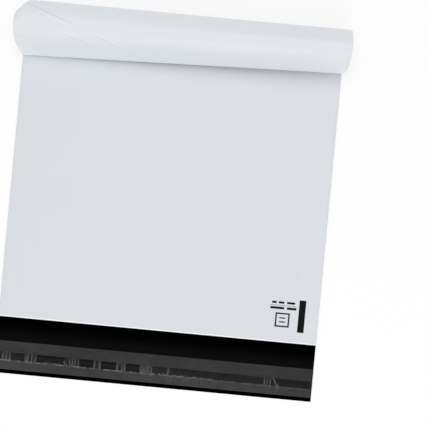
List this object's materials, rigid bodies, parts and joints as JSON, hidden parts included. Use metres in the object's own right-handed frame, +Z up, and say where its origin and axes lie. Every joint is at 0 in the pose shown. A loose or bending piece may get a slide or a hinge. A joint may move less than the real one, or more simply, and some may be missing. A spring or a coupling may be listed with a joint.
{
  "type": "poly mailer bag",
  "caption": "Flat poly mailer bag, open flap with glue strip and release liner, closed end curled forward over the front.",
  "frame": {"origin": "on the surface that the bag lies on, under the middle of its bounding box", "axes": "+X across the bag, +Y from the flap towards the curled closed end, +Z up"},
  "size_m": [0.254, 0.293, 0.0434],
  "materials": {
    "white_film": "white satin polyethylene film, black on the inner face",
    "hot_melt": "clear pressure-sensitive glue over black film",
    "clear_liner": "translucent release film"
  },
  "bodies": {
    "root": {"bag_film": "white_film", "adhesive_strip": "hot_melt", "release_liner": "clear_liner"}
  },
  "joints": []
}
